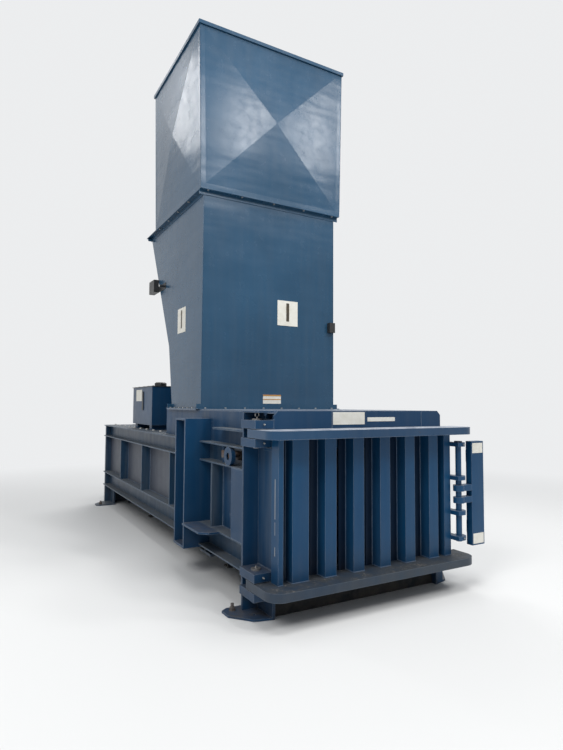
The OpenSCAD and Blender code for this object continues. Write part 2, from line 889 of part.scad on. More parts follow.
module door_top_plate() {
    color(blue) translate([0, 0, door_top - door_plate_t]) door_plate();
}

module door_bottom_plate() {
    color(blue) translate([0, 0, door_z]) door_plate();
}

module door_ribs() {
    z0 = door_z + door_plate_t;
    z1 = door_top - door_plate_t;
    color(blue) for (i = [-2:3]) {
        r = i == -2 ? (door_rib + end_rib_extra) / 2 : door_rib / 2;
        translate([(i - 0.5) * rib_pitch, face_y, 0]) difference() {
            block([-r, -door_rib, z0], [r, 0, z1]);
            block([door_rib_wall - r, door_rib_wall - door_rib, z0 - 1],
                [r - door_rib_wall, -door_rib_wall, z1 + 1]);
        }
    }
}

module door_stiles() {
    z0 = door_z + door_plate_t;
    z1 = door_top - door_plate_t;
    color(blue) {
        block([-half_plate - 44, face_y - door_rib, z0], [-half_plate - 4, face_y, z1]);
        block([half_plate - 16, face_y - door_rib, z0], [half_plate + 56, face_y, z1]);
    }
}

module door_face_plate() {
    color(worn) lanes(half_out - 4, face_y, face_y + door_face_t, door_z + door_plate_t,
        door_top - door_plate_t);
}

module door_latch_lugs() {
    color(blue) for (z = lug_zs) translate([0, 0, z - 17]) linear_extrude(34)
        difference() {
            union() {
                translate([latch_x, latch_y]) circle(55);
                translate([half_plate + 56, latch_y - 55])
                    square([latch_x - half_plate - 56, 145]);
            }
            translate([latch_x, latch_y]) circle(latch_pin_d / 2 + fit);
        }
}

module latch_pin() {
    z0 = lug_zs[0] - 17;
    pin_l = lug_zs[3] + 17 - z0;
    color(steel) translate([latch_x, latch_y, z0]) {
        translate([0, 0, -14]) cylinder(d = latch_pin_d, h = pin_l + 14);
        translate([0, 0, pin_l]) cylinder(d = latch_pin_d + 16, h = 10);
    }
}

module latch_arms() {
    color(blue) for (z = [latch_z - 49, latch_z + 49])
        translate([latch_x, latch_y, z - latch_arm_t / 2]) linear_extrude(latch_arm_t)
        difference() {
            union() {
                circle(45);
                translate([0, -latch_t / 2]) square([latch_reach, latch_t]);
            }
            circle(latch_pin_d / 2 + fit);
        }
}

module latch_bar() {
    color(blue) translate([latch_x + latch_reach, latch_y, 0]) {
        block([0, -latch_t / 2, latch_z - latch_len / 2],
            [latch_w, latch_t / 2, latch_z + latch_len / 2]);
        for (z = hook_zs) block([65, latch_t / 2, z - 50],
            [115, latch_t / 2 + hook_reach, z + 50]);
    }
}

module platen() {
    back_y = ram_y + platen_face_t + slot_d;
    color(worn) {
        lanes(ram_half, ram_y + platen_face_t, back_y - seat, ram_z, ram_top);
        difference() {
            block([-ram_half, back_y, ram_z], [ram_half, ram_y + platen_len, ram_top]);
            for (i = [-2:3]) translate([(i - 0.5) * rib_pitch, back_y + 25, 0])
                block([-95, 0, ram_z + 40], [95, platen_len, ram_top - 40]);
            block([-130, back_y + 25, cyl_z - 130], [130, back_y + 26, cyl_z + 130]);
        }
        block([-125, ram_y + platen_len - 60, cyl_z - 125],
            [125, ram_y + platen_len, cyl_z + 125]);
    }
}

module platen_face_plate() {
    color(steel) lanes(ram_half, ram_y, ram_y + platen_face_t, ram_z, ram_top - 60);
}

module ram_shear_blade() {
    color(steel) lanes(ram_half, ram_y, ram_y + platen_face_t, ram_top - 60, ram_top);
}

module ram_skirt() {
    y0 = ram_y + platen_len;
    color(worn) {
        block([-ram_half, y0, ram_top - skirt_t], [ram_half, y0 + skirt_len, ram_top]);
        both_sides() block([ram_half - skirt_t, y0, ram_z],
            [ram_half, y0 + skirt_len, ram_top - skirt_t - seat]);
    }
}

module piston_rod() {
    y0 = ram_y + platen_len;
    piston_y = barrel_y + barrel_len - 260;
    color(steel) translate([0, 0, cyl_z]) {
        translate([0, y0, 0]) rotate([-90, 0, 0]) cylinder(d = rod_d + 100, h = 30);
        translate([0, y0, 0]) rotate([-90, 0, 0]) cylinder(d = rod_d, h = piston_y - y0 + 1);
        translate([0, piston_y, 0]) rotate([-90, 0, 0])
            cylinder(r = bore_d / 2 - fit, h = 120);
    }
}

module cylinder_barrel() {
    outer_r = bore_d / 2 + barrel_wall;
    color(blue) {
        translate([0, barrel_y, cyl_z]) rotate([-90, 0, 0]) difference() {
            union() {
                cylinder(r = outer_r, h = barrel_len);
                cylinder(r = outer_r + 15, h = 60);
                for (y = [80, pipe_ys[1] - barrel_y]) translate([0, 0, y])
                    rotate([90, 0, 0]) cylinder(d = pipe_d + 26, h = outer_r + 20);
            }
            translate([0, 0, 60]) cylinder(d = bore_d, h = barrel_len - 120);
            translate([0, 0, -1]) cylinder(r = rod_d / 2 + fit, h = 62);
            for (y = [80, pipe_ys[1] - barrel_y]) translate([0, 0, y])
                rotate([90, 0, 0]) cylinder(d = pipe_d - 8, h = outer_r + 21);
        }
        along_x(-pin_gap + 5, pin_gap - 5) difference() {
            union() {
                translate([barrel_y + barrel_len, cyl_z - 75])
                    square([mount_y - barrel_y - barrel_len, 150]);
                translate([mount_y, cyl_z]) circle(75);
            }
            translate([mount_y, cyl_z]) circle(40 + fit);
        }
        translate([-pin_gap - 60, mount_y, cyl_z]) rotate([0, 90, 0])
            cylinder(r = 40, h = 2 * pin_gap + 120);
    }
}

module cylinder_saddle() {
    y = barrel_y + 160;
    saddle_r = bore_d / 2 + barrel_wall;
    color(blue) difference() {
        block([-170, y, strip_top], [170, y + 40, cyl_z]);
        translate([0, y - 1, cyl_z]) rotate([-90, 0, 0]) cylinder(r = saddle_r, h = 42);
    }
}

// A bale dog in the right wall, with the rod that guides its spring
module bale_dog() {
    nose_y = dog_y - dog_len;
    difference() {
        union() {
            translate([0, 0, dog_z - dog_h / 2]) linear_extrude(dog_h) union() {
                translate([dog_x, dog_y]) circle(24);
                polygon([[dog_x + 15, dog_y + 10], [dog_x - 15, nose_y],
                    [half_in - dog_reach, nose_y], [half_in - dog_reach, nose_y + 15],
                    [dog_x - 24, dog_y]]);
            }
            translate([dog_x, can_y, dog_z]) rotate([0, 90, 0]) translate([0, 0, -20])
                cylinder(d = 26, h = 70);
        }
        translate([dog_x, dog_y, dog_z - dog_h]) cylinder(r = 15 + fit, h = 2 * dog_h);
    }
}

module bale_dog_left() {
    color(steel) mirror([1, 0, 0]) bale_dog();
}

module bale_dog_right() {
    color(steel) bale_dog();
}

module dog_spring_cans() {
    color(steel) both_sides() {
        translate([dog_x, dog_y, upper_rail_z + rail_t])
            cylinder(r = 15, h = upper_rail_h - 2 * rail_t);
        translate([can_x, can_y, dog_z]) rotate([0, 90, 0]) difference() {
            cylinder(d = can_d, h = can_len);
            translate([0, 0, -1]) cylinder(d = can_d - 16, h = can_len - 7);
            cylinder(d = 60, h = can_len + 1);
        }
    }
}

module oil_tank() {
    color(blue) translate([tank_x, tank_y, 0]) {
        difference() {
            block([0, 0, tank_z], [tank_w, tank_len, tank_z + tank_h]);
            block([6, 6, tank_z + 6], [tank_w - 6, tank_len - 6, tank_z + tank_h + 1]);
        }
        for (y = [60, tank_len - 160]) block([20, y, house_top], [tank_w - 20, y + 100, tank_z]);
    }
}

module tank_fittings() {
    lid_z = tank_z + tank_h;
    color(dark) translate([tank_x, tank_y, lid_z]) {
        block([-12, -12, 0], [tank_w + 12, tank_len + 12, 8]);
        translate([0.2 * tank_w, 0.2 * tank_len, 8]) cylinder(d = 150, h = 40);
        translate([0.2 * tank_w, 0.2 * tank_len, 48]) cylinder(d1 = 150, d2 = 110, h = 12);
        translate([0.5 * tank_w, 0.25 * tank_len, 8]) cylinder(d = 60, h = 30);
        block([-10, 0.42 * tank_len, -0.62 * tank_h], [0, 0.48 * tank_len, -0.12 * tank_h]);
    }
}

module motor() {
    color(dark) {
        translate([drive_x, tank_y, axis_z]) rotate([-90, 0, 0]) {
            difference() {
                union() {
                    cylinder(d = motor_d - 30, h = motor_len);
                    translate([0, 0, 60]) linear_extrude(motor_len - 120)
                        for (i = [0:17]) rotate(i * 20)
                            translate([-motor_d / 2, -3]) square([motor_d, 6]);
                    for (z = [40, motor_len - 60]) translate([0, 0, z])
                        cylinder(d = motor_d, h = 20);
                    translate([0, 0, -70]) cylinder(d = motor_d, h = 80);
                }
                translate([0, 0, motor_len - 80]) cylinder(r = 24 + fit, h = 81);
            }
        }
        for (y = [70, motor_len - 130]) difference() {
            block([drive_x - 130, tank_y + y, house_top], [drive_x + 130, tank_y + y + 60,
                axis_z]);
            translate([drive_x, tank_y + y - 1, axis_z]) rotate([-90, 0, 0])
                cylinder(d = motor_d - 40, h = 62);
        }
        block([drive_x - 60, tank_y + 150, axis_z + motor_d / 2 - 20],
            [drive_x + 60, tank_y + 300, axis_z + motor_d / 2 + 60]);
    }
}

module pump() {
    color(dark) translate([drive_x, bell_y, axis_z]) rotate([-90, 0, 0]) difference() {
        union() {
            cylinder(d = motor_d, h = 16);
            cylinder(d = 200, h = 160);
            translate([0, 0, 144]) cylinder(d = 220, h = 16);
            translate([-80, -80, 160]) cube([160, 160, 150]);
            translate([0, 0, 160]) cylinder(d = 130, h = 190);
        }
        translate([0, 0, -1]) cylinder(d = 170, h = 145);
        translate([0, 0, 100]) cylinder(r = 24 + fit, h = 120);
        for (a = [0, 90]) rotate(a) translate([-40, -110, 40]) cube([80, 220, 70]);
    }
}

module drive_coupling() {
    color(steel) translate([drive_x, bell_y, axis_z]) rotate([-90, 0, 0]) {
        translate([0, 0, -70]) cylinder(r = 24, h = 270);
        difference() {
            translate([0, 0, 20]) cylinder(d = 120, h = 104);
            for (a = [0, 60, 120]) rotate(a) translate([-61, -8, 64]) cube([122, 16, 16]);
        }
    }
}

module valve_manifold() {
    color(steel) translate([180, pipe_ys[0] - 60, 0]) {
        block([0, 0, house_top + 80], [240, 320, house_top + 220]);
        for (y = [20, 240]) block([20, y, house_top], [220, y + 60, house_top + 80]);
        for (y = [30, 130, 230]) {
            block([20, y, house_top + 220], [220, y + 60, house_top + 290]);
            translate([20, y + 30, house_top + 255]) rotate([0, -90, 0])
                cylinder(d = 56, h = 70);
        }
    }
}

// A straight length of pipe between two points
module pipe(a, b) {
    v = b - a;
    translate(a) rotate([0, acos(v[2] / norm(v)), atan2(v[1], v[0])])
        cylinder(d = pipe_d, h = norm(v));
}

// A pipe along a list of points, with a ball at each bend
module pipe_run(points) {
    for (i = [0:len(points) - 2]) pipe(points[i], points[i + 1]);
    for (i = [1:len(points) - 2]) translate(points[i]) sphere(d = pipe_d);
}

module hydraulic_pipes() {
    port_z = cyl_z + bore_d / 2 + barrel_wall + 20;
    valve_z = house_top + 150;
    rod_port_y = barrel_y + 80;
    color(steel) {
        pipe_run([[0, pipe_ys[1], port_z], [0, pipe_ys[1], valve_z],
            [180, pipe_ys[1], valve_z]]);
        pipe_run([[0, rod_port_y, port_z], [0, rod_port_y, port_z + 90],
            [0, pipe_ys[0], port_z + 90], [0, pipe_ys[0], valve_z],
            [180, pipe_ys[0], valve_z]]);
        pipe_run([[drive_x, tank_y + motor_len + 350, axis_z],
            [drive_x, pipe_ys[0] - 60, axis_z]]);
        pipe_run([[tank_x + tank_w, tank_y + 700, axis_z - 40],
            [drive_x - 80, tank_y + 700, axis_z - 40]]);
    }
}

floor_plate();
floor_wear_strips();
side_wall_left();
side_wall_right();
wall_liners();
roof_plate();
roof_stiffeners();
deck_plate();
front_top_beam();
front_sill();
front_post_left();
front_post_right();
side_rails();
side_ribs();
mid_columns();
mid_cross_beams();
floor_crossmembers();
rear_posts();
rear_bulkhead();
housing_cover();
throat_frame();
fixed_shear_blade();
hinge_lugs();
hinge_pins();
latch_keeper();
anchor_bolts();
lower_hopper();
upper_hopper();
hopper_base_flange();
hopper_mid_flange();
hopper_top_flange();
hopper_bolts();
photo_eyes();
number_plates();
door_top_plate();
door_bottom_plate();
door_ribs();
door_stiles();
door_face_plate();
door_latch_lugs();
latch_pin();
latch_arms();
latch_bar();
platen();
platen_face_plate();
ram_shear_blade();
ram_skirt();
piston_rod();
cylinder_barrel();
cylinder_saddle();
bale_dog_left();
bale_dog_right();
dog_spring_cans();
oil_tank();
tank_fittings();
valve_manifold();
motor();
pump();
drive_coupling();
hydraulic_pipes();
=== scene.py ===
import math
import bpy
import bmesh
from mathutils import Matrix, Vector


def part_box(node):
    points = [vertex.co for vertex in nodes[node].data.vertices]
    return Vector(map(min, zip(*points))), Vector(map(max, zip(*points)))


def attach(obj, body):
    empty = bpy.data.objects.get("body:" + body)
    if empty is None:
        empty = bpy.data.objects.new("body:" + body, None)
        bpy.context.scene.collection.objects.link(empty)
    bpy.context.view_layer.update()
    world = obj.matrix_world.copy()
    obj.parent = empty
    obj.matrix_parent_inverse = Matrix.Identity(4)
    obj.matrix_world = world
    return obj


# Looks of a closed-door recycling baler, in metres, in the frame of its CAD part.

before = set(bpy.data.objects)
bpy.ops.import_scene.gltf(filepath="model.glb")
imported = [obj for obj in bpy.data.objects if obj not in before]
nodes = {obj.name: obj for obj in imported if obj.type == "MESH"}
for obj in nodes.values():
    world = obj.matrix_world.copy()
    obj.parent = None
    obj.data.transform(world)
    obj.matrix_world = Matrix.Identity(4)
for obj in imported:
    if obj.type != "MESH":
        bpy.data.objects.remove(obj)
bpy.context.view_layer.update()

BACKDROP = (0.84, 0.85, 0.86)
FLOOR_GREY = (0.74, 0.74, 0.73)
DEEP_BLUE = (0.004, 0.034, 0.088)
PALE_BLUE = (0.008, 0.052, 0.124)
# Pale blue of paint worn at edges, which also serves as a painted highlight along edges.
WORN_EDGE_HIGHLIGHT_BLUE = (0.30, 0.35, 0.41)
GREY_FILM = (0.13, 0.145, 0.16)
SPLASHED_DIRT = (0.05, 0.045, 0.04)
PAPER_CRUMBS = (0.26, 0.24, 0.21)
CHIPPED_PRIMER = (0.045, 0.03, 0.025)
RUST = (0.12, 0.055, 0.028)

WELD_PITCH = 0.009
WELD_LENGTH = 0.108
FINE_BEAD, BEAD, HEAVY_BEAD = 0.004, 0.006, 0.007
LUG_HEIGHT = 0.06
PLATE_THICKNESS = 0.0015


# Materials

class Finish:
    """One surface finish, built up from procedural layers on Object coordinates."""

    def __init__(self, name):
        self.material = bpy.data.materials.new(name)
        self.material.use_nodes = True
        self.nodes = self.material.node_tree.nodes
        self.links = self.material.node_tree.links
        self.shader = self.nodes["Principled BSDF"]
        self.coordinates = self.nodes.new("ShaderNodeTexCoord").outputs["Object"]
        self.normal = self.nodes.new("ShaderNodeNewGeometry").outputs["Normal"]
        self.upward = self.split(self.normal).outputs["Z"]
        place = self.split(self.coordinates).outputs
        self.along, self.height = place["Y"], place["Z"]

    def split(self, vector):
        node = self.nodes.new("ShaderNodeSeparateXYZ")
        self.links.new(vector, node.inputs["Vector"])
        return node

    def fill(self, socket, value):
        if isinstance(value, (int, float)):
            socket.default_value = value
        elif isinstance(value, tuple):
            socket.default_value = (*value, 1.0)
        else:
            self.links.new(value, socket)

    def noise(self, scale, detail=4.0, roughness=0.55, stretch=(1.0, 1.0, 1.0)):
        mapping = self.nodes.new("ShaderNodeMapping")
        mapping.inputs["Scale"].default_value = stretch
        self.links.new(self.coordinates, mapping.inputs["Vector"])
        node = self.nodes.new("ShaderNodeTexNoise")
        node.inputs["Scale"].default_value = scale
        node.inputs["Detail"].default_value = detail
        node.inputs["Roughness"].default_value = roughness
        self.links.new(mapping.outputs["Vector"], node.inputs["Vector"])
        return node.outputs["Fac"]

    def ramp(self, value, low, high, bottom=0.0, top=1.0):
        node = self.nodes.new("ShaderNodeMapRange")
        for name, number in (("From Min", low), ("From Max", high), ("To Min", bottom),
                             ("To Max", top)):
            node.inputs[name].default_value = number
        self.links.new(value, node.inputs["Value"])
        return node.outputs["Result"]

    def combine(self, operation, first, second):
        node = self.nodes.new("ShaderNodeMath")
        node.operation = operation
        self.fill(node.inputs[0], first)
        self.fill(node.inputs[1], second)
        return node.outputs["Value"]

    def times(self, first, second):
        return self.combine("MULTIPLY", first, second)

    def plus(self, first, second):
        return self.combine("ADD", first, second)

    def mix(self, factor, first, second):
        node = self.nodes.new("ShaderNodeMix")
        node.data_type = "RGBA"
        colors = [socket for socket in node.inputs if socket.type == "RGBA"]
        self.fill(node.inputs["Factor"], factor)
        self.fill(colors[0], first)
        self.fill(colors[1], second)
        return next(socket for socket in node.outputs if socket.type == "RGBA")

    def edges(self, width):
        """One along sharp outer and inner edges, nought on flat metal."""
        bevel = self.nodes.new("ShaderNodeBevel")
        bevel.samples = 4
        bevel.inputs["Radius"].default_value = width
        turn = self.nodes.new("ShaderNodeVectorMath")
        turn.operation = "DOT_PRODUCT"
        self.links.new(bevel.outputs["Normal"], turn.inputs[0])
        self.links.new(self.normal, turn.inputs[1])
        return self.ramp(turn.outputs["Value"], 0.985, 0.9)

    def close(self, color, roughness, metallic=0.0, specular=0.5, relief=None, depth=0.001):
        self.links.new(color, self.shader.inputs["Base Color"])
        self.fill(self.shader.inputs["Roughness"], roughness)
        self.shader.inputs["Metallic"].default_value = metallic
        self.shader.inputs["Specular IOR Level"].default_value = specular
        bump = self.nodes.new("ShaderNodeBump")
        bump.inputs["Strength"].default_value = 1.0
        bump.inputs["Distance"].default_value = depth
        self.links.new(relief, bump.inputs["Height"])
        self.links.new(bump.outputs["Normal"], self.shader.inputs["Normal"])
        return self.material


def enamel(name, deep, pale, dust_and_sheen=0.5, chips=0.5, gloss=0.34, grime=0.6, waves=0.15,
           dust_and_sheen_color=(0.12, 0.105, 0.09), specular=0.42, film=0.1, worn_edges_and_highlight=0.0,
           rear_lower_tone=None, crumbs=0.0):
    """Sprayed paint on plate, with runs, worn edges lightened also as a painted edge highlight,
    splashed dirt, settled dust (with a pale colour also a painted sheen on top faces) and chips.
    """
    finish = Finish(name)
    clouds = finish.noise(1.1, 4.0, 0.55)
    runs = finish.noise(2.6, 4.0, 0.6, stretch=(5.0, 5.0, 0.35))
    mottle = finish.noise(9.0, 5.0, 0.6)
    grit = finish.noise(46.0, 4.0, 0.6)
    swell = finish.noise(1.5, 2.0, 0.5, stretch=(0.6, 0.6, 2.6))
    color = finish.mix(finish.ramp(clouds, 0.32, 0.68), deep, pale)
    # A greyer tone on the lower wall panels towards the rear.
    if rear_lower_tone:
        rear_panels = finish.times(finish.ramp(finish.along, 1.25, 1.35),
                                   finish.ramp(finish.height, 1.06, 1.0))
        color = finish.mix(rear_panels, color, rear_lower_tone)
    color = finish.mix(finish.ramp(runs, 0.4, 0.78, 0.0, film), color, GREY_FILM)
    # Edges lightened to pale blue: worn paint, and a painted highlight along the edges.
    if worn_edges_and_highlight:
        edge_wear_and_highlight = finish.times(finish.edges(0.006), finish.ramp(mottle, 0.3, 0.6, 0.3))
        color = finish.mix(finish.times(edge_wear_and_highlight, worn_edges_and_highlight), color, WORN_EDGE_HIGHLIGHT_BLUE)
    splash = finish.times(finish.ramp(finish.height, 0.5, 0.02), finish.ramp(mottle, 0.36, 0.66))
    color = finish.mix(finish.times(splash, grime), color, SPLASHED_DIRT)
    # Upward faces lightened as settled dust; where the dust colour is pale this is also a painted
    # sheen of light on top faces.
    settled_dust_and_sheen = finish.times(finish.ramp(finish.upward, 0.55, 0.98),
                           finish.ramp(mottle, 0.25, 0.7, 0.25))
    color = finish.mix(finish.times(settled_dust_and_sheen, dust_and_sheen), color, dust_and_sheen_color)
    if crumbs:
        scattered = finish.times(finish.ramp(finish.noise(58.0, 3.0, 0.7), 0.6, 0.66),
                                 finish.ramp(mottle, 0.42, 0.56))
        lying = finish.times(scattered, finish.ramp(finish.upward, 0.8, 0.95, 0.0, crumbs))
        color = finish.mix(lying, color, PAPER_CRUMBS)
    chipped = finish.times(finish.ramp(finish.noise(19.0, 7.0, 0.68), 0.655, 0.68),
                           finish.ramp(finish.noise(1.9, 2.0, 0.5), 0.48, 0.6))
    color = finish.mix(finish.times(chipped, chips), color, CHIPPED_PRIMER)
    rough = finish.plus(finish.ramp(mottle, 0.25, 0.75, gloss - 0.04, gloss + 0.06),
                        finish.times(settled_dust_and_sheen, 0.35 * dust_and_sheen))
    relief = finish.plus(finish.times(swell, waves), finish.times(grit, 0.004))
    return finish.close(color, rough, specular=specular, relief=relief, depth=0.02)


def bare_steel(name, base, rust=0.3, gloss=0.38, grain_stretch=(1.0, 7.0, 7.0)):
    """Metal worn bright, with grain along its travel and some rust."""
    finish = Finish(name)
    grain = finish.noise(26.0, 4.0, 0.6, stretch=grain_stretch)
    patches = finish.noise(5.0, 6.0, 0.65)
    color = finish.mix(finish.ramp(grain, 0.3, 0.7), tuple(0.75 * part for part in base), base)
    color = finish.mix(finish.times(finish.ramp(patches, 0.5, 0.68), rust), color, RUST)
    rough = finish.ramp(patches, 0.2, 0.8, gloss, gloss + 0.25)
    return finish.close(color, rough, metallic=0.8, relief=grain, depth=0.0004)


def printed_plate(name, base, shade):
    """A thin painted plate that has yellowed a little and picked up handling marks."""
    finish = Finish(name)
    smears = finish.noise(14.0, 5.0, 0.6)
    color = finish.mix(finish.ramp(smears, 0.4, 0.75), base, shade)
    return finish.close(color, finish.ramp(smears, 0.2, 0.8, 0.35, 0.55),
                        relief=finish.noise(90.0), depth=0.0002)


frame_enamel = enamel("frame_enamel", DEEP_BLUE, PALE_BLUE, specular=0.25, worn_edges_and_highlight=0.6)
door_enamel = enamel("door_enamel", (0.005, 0.048, 0.122), (0.008, 0.066, 0.158), dust_and_sheen=0.35,
                     gloss=0.32, specular=0.25, worn_edges_and_highlight=0.5)
hopper_enamel = enamel("hopper_enamel", (0.012, 0.056, 0.112), (0.020, 0.076, 0.146), dust_and_sheen=0.3,
                       chips=0.0, gloss=0.24, grime=0.0, waves=0.4, specular=0.32)
# The deck's edges carry a strong painted edge highlight.
deck_enamel = enamel("deck_enamel", DEEP_BLUE, PALE_BLUE, dust_and_sheen=0.9, gloss=0.3,
                     dust_and_sheen_color=(0.17, 0.19, 0.22), specular=0.5, worn_edges_and_highlight=0.8)
# The door's top plate: its pale dust colour on the top face is partly settled dust and partly a
# painted highlight.
door_top_enamel = enamel("door_top_enamel", (0.005, 0.040, 0.100), (0.008, 0.056, 0.132), dust_and_sheen=1.0,
                         gloss=0.3, dust_and_sheen_color=(0.42, 0.44, 0.48), worn_edges_and_highlight=0.6)
# Painted shade: the door's face plate between the ribs is made near black-blue for the shade in
# those recesses.
painted_shade_enamel = enamel("painted_shade_enamel", (0.002, 0.012, 0.034), (0.004, 0.018, 0.046), chips=0.6,
                       gloss=0.45, specular=0.15)
ledge_enamel = enamel("ledge_enamel", (0.008, 0.036, 0.080), (0.018, 0.055, 0.104), dust_and_sheen=0.8,
                      chips=0.8, gloss=0.4, dust_and_sheen_color=(0.14, 0.145, 0.145), specular=0.3,
                      film=0.5, worn_edges_and_highlight=0.5)
panel_enamel = enamel("panel_enamel", DEEP_BLUE, PALE_BLUE, dust_and_sheen=0.8, chips=0.6, gloss=0.45,
                      specular=0.25, film=0.35, rear_lower_tone=(0.070, 0.080, 0.104))
trodden_enamel = enamel("trodden_enamel", (0.010, 0.030, 0.062), (0.020, 0.036, 0.056), dust_and_sheen=0.9,
                        chips=1.0, gloss=0.42, grime=0.5, waves=0.2,
                        dust_and_sheen_color=(0.034, 0.036, 0.038), worn_edges_and_highlight=0.4, crumbs=0.8)
# Grime and painted shade: the sill and floor crossmembers under the door are made near black for the
# shade that lies there.
sooty_painted_shade_enamel = enamel("sooty_painted_shade_enamel", (0.006, 0.010, 0.016), (0.012, 0.013, 0.014), dust_and_sheen=0.6,
                      chips=0.8, gloss=0.6, grime=0.9, specular=0.15)
scraped_enamel = enamel("scraped_enamel", (0.010, 0.030, 0.065), (0.055, 0.055, 0.058), dust_and_sheen=0.7,
                        chips=1.0, gloss=0.42)
black_enamel = enamel("black_enamel", (0.014, 0.015, 0.016), (0.024, 0.025, 0.026), dust_and_sheen=0.6,
                      chips=0.2, gloss=0.4)
bright_steel = bare_steel("bright_steel", (0.45, 0.44, 0.43), rust=0.25)
pin_steel = bare_steel("pin_steel", (0.30, 0.29, 0.28), rust=0.4, gloss=0.4,
                       grain_stretch=(7.0, 7.0, 1.0))
brown_steel = bare_steel("brown_steel", (0.18, 0.16, 0.15), rust=0.85, gloss=0.5)
zinc_plating = bare_steel("zinc_plating", (0.55, 0.55, 0.53), rust=0.1, gloss=0.3)
white_plate = printed_plate("white_plate", (0.80, 0.78, 0.71), (0.70, 0.67, 0.58))
numeral_ink = printed_plate("numeral_ink", (0.035, 0.026, 0.014), (0.06, 0.042, 0.02))
amber_band = printed_plate("amber_band", (0.52, 0.24, 0.05), (0.40, 0.19, 0.06))

FINISHES = {
    hopper_enamel: ["lower_hopper", "upper_hopper", "hopper_mid_flange", "hopper_top_flange",
                    "hopper_base_flange"],
    door_enamel: ["door_ribs", "door_stiles", "door_latch_lugs", "latch_arms", "latch_bar",
                  "latch_pin", "latch_keeper"],
    deck_enamel: ["deck_plate"],
    door_top_enamel: ["door_top_plate"],
    panel_enamel: ["side_wall_left", "side_wall_right"],
    painted_shade_enamel: ["door_face_plate"],
    ledge_enamel: ["housing_cover", "side_rails", "side_ribs", "mid_cross_beams", "rear_posts",
                   "rear_bulkhead", "roof_stiffeners", "cylinder_barrel", "cylinder_saddle"],
    trodden_enamel: ["door_bottom_plate"],
    sooty_painted_shade_enamel: ["front_sill", "floor_crossmembers"],
    scraped_enamel: ["floor_plate", "roof_plate", "throat_frame", "platen", "ram_skirt"],
    bright_steel: ["floor_wear_strips", "wall_liners", "platen_face_plate", "piston_rod",
                   "ram_shear_blade", "fixed_shear_blade"],
    pin_steel: ["hinge_pins"],
    brown_steel: ["bale_dog_left", "bale_dog_right", "drive_coupling", "anchor_bolts"],
    zinc_plating: ["hopper_bolts", "hydraulic_pipes", "valve_manifold"],
    black_enamel: ["motor", "pump", "photo_eyes", "tank_fittings"],
    white_plate: ["number_plates"],
}


def dress_cad_nodes():
    """Gives each CAD node the finish listed for it, or the frame's enamel."""
    finish_of = {name: material for material, names in FINISHES.items() for name in names}
    for name, node in nodes.items():
        for slot in node.material_slots:
            slot.material = finish_of.get(name, frame_enamel)


# Building pieces

def close_mesh(name, shape):
    """The mesh of a bmesh, which is freed."""
    mesh = bpy.data.meshes.new(name)
    shape.to_mesh(mesh)
    shape.free()
    return mesh


def add_piece(name, shape, material, body):
    """Puts a finished shape in the scene as a piece that rides a body."""
    bmesh.ops.recalc_face_normals(shape, faces=shape.faces)
    mesh = close_mesh(name, shape)
    mesh.materials.append(material)
    piece = bpy.data.objects.new(name, mesh)
    bpy.context.scene.collection.objects.link(piece)
    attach(piece, body)


def stamp(shape, pattern, place):
    """Adds a copy of a pattern mesh to a bmesh."""
    copy = pattern.copy()
    copy.transform(place)
    shape.from_mesh(copy)
    bpy.data.meshes.remove(copy)


def aim(spot, direction):
    """A place whose own Z axis points along a direction."""
    turn = Vector(direction).to_track_quat("Z", "Y").to_matrix().to_4x4()
    return Matrix.Translation(spot) @ turn


def weld_pattern():
    """A short length of weld metal of unit radius, laid in overlapping ripples."""
    shape = bmesh.new()
    for step in range(round(WELD_LENGTH / WELD_PITCH)):
        middle = Matrix.Translation((0.0, 0.0, (step + 0.5) * WELD_PITCH))
        bmesh.ops.create_cone(shape, cap_ends=True, segments=6, radius1=1.08, radius2=0.82,
                              depth=1.3 * WELD_PITCH, matrix=middle)
    return close_mesh("weld_pattern", shape)


def bolt_pattern():
    """A hexagon bolt head on a washer, of unit width across its corners, seated at z = 0."""
    shape = bmesh.new()
    bmesh.ops.create_cone(shape, cap_ends=True, segments=18, radius1=0.62, radius2=0.62,
                          depth=0.12, matrix=Matrix.Translation((0.0, 0.0, 0.06)))
    head = bmesh.ops.create_cone(shape, cap_ends=True, segments=6, radius1=0.5, radius2=0.5,
                                 depth=0.34, matrix=Matrix.Translation((0.0, 0.0, 0.29)))
    below_top = 0.4
    rim = {edge for vert in head["verts"] for edge in vert.link_edges if vert.co.z > below_top}
    top = [edge for edge in rim if all(vert.co.z > below_top for vert in edge.verts)]
    bmesh.ops.bevel(shape, geom=top, offset=0.05, offset_type="OFFSET", segments=1, profile=0.5,
                    affect="EDGES", material=-1)
    return close_mesh("bolt_pattern", shape)


weld_metal = weld_pattern()
hex_bolt = bolt_pattern()


def lay_weld(shape, start, end, radius):
    """Weld metal along a straight seam."""
    run = Vector(end) - Vector(start)
    lengths = max(1, round(run.length / WELD_LENGTH))
    stretch = Matrix.Diagonal((radius, radius, run.length / lengths / WELD_LENGTH, 1.0))
    for index in range(lengths):
        stamp(shape, weld_metal, aim(Vector(start) + run * (index / lengths), run) @ stretch)


def flat_plate(shape, low, high, corner=0.004):
    """A thin plate between two corners, with eased edges."""
    low, high = Vector(low), Vector(high)
    place = Matrix.Translation((low + high) / 2) @ Matrix.Diagonal((*(high - low), 1.0))
    plate = bmesh.ops.create_cube(shape, size=1.0, matrix=place)
    edges = list({edge for vert in plate["verts"] for edge in vert.link_edges})
    bmesh.ops.bevel(shape, geom=edges, offset=min(corner, 0.3 * min(high - low)),
                    offset_type="OFFSET", segments=2, profile=0.5, affect="EDGES", material=-1)


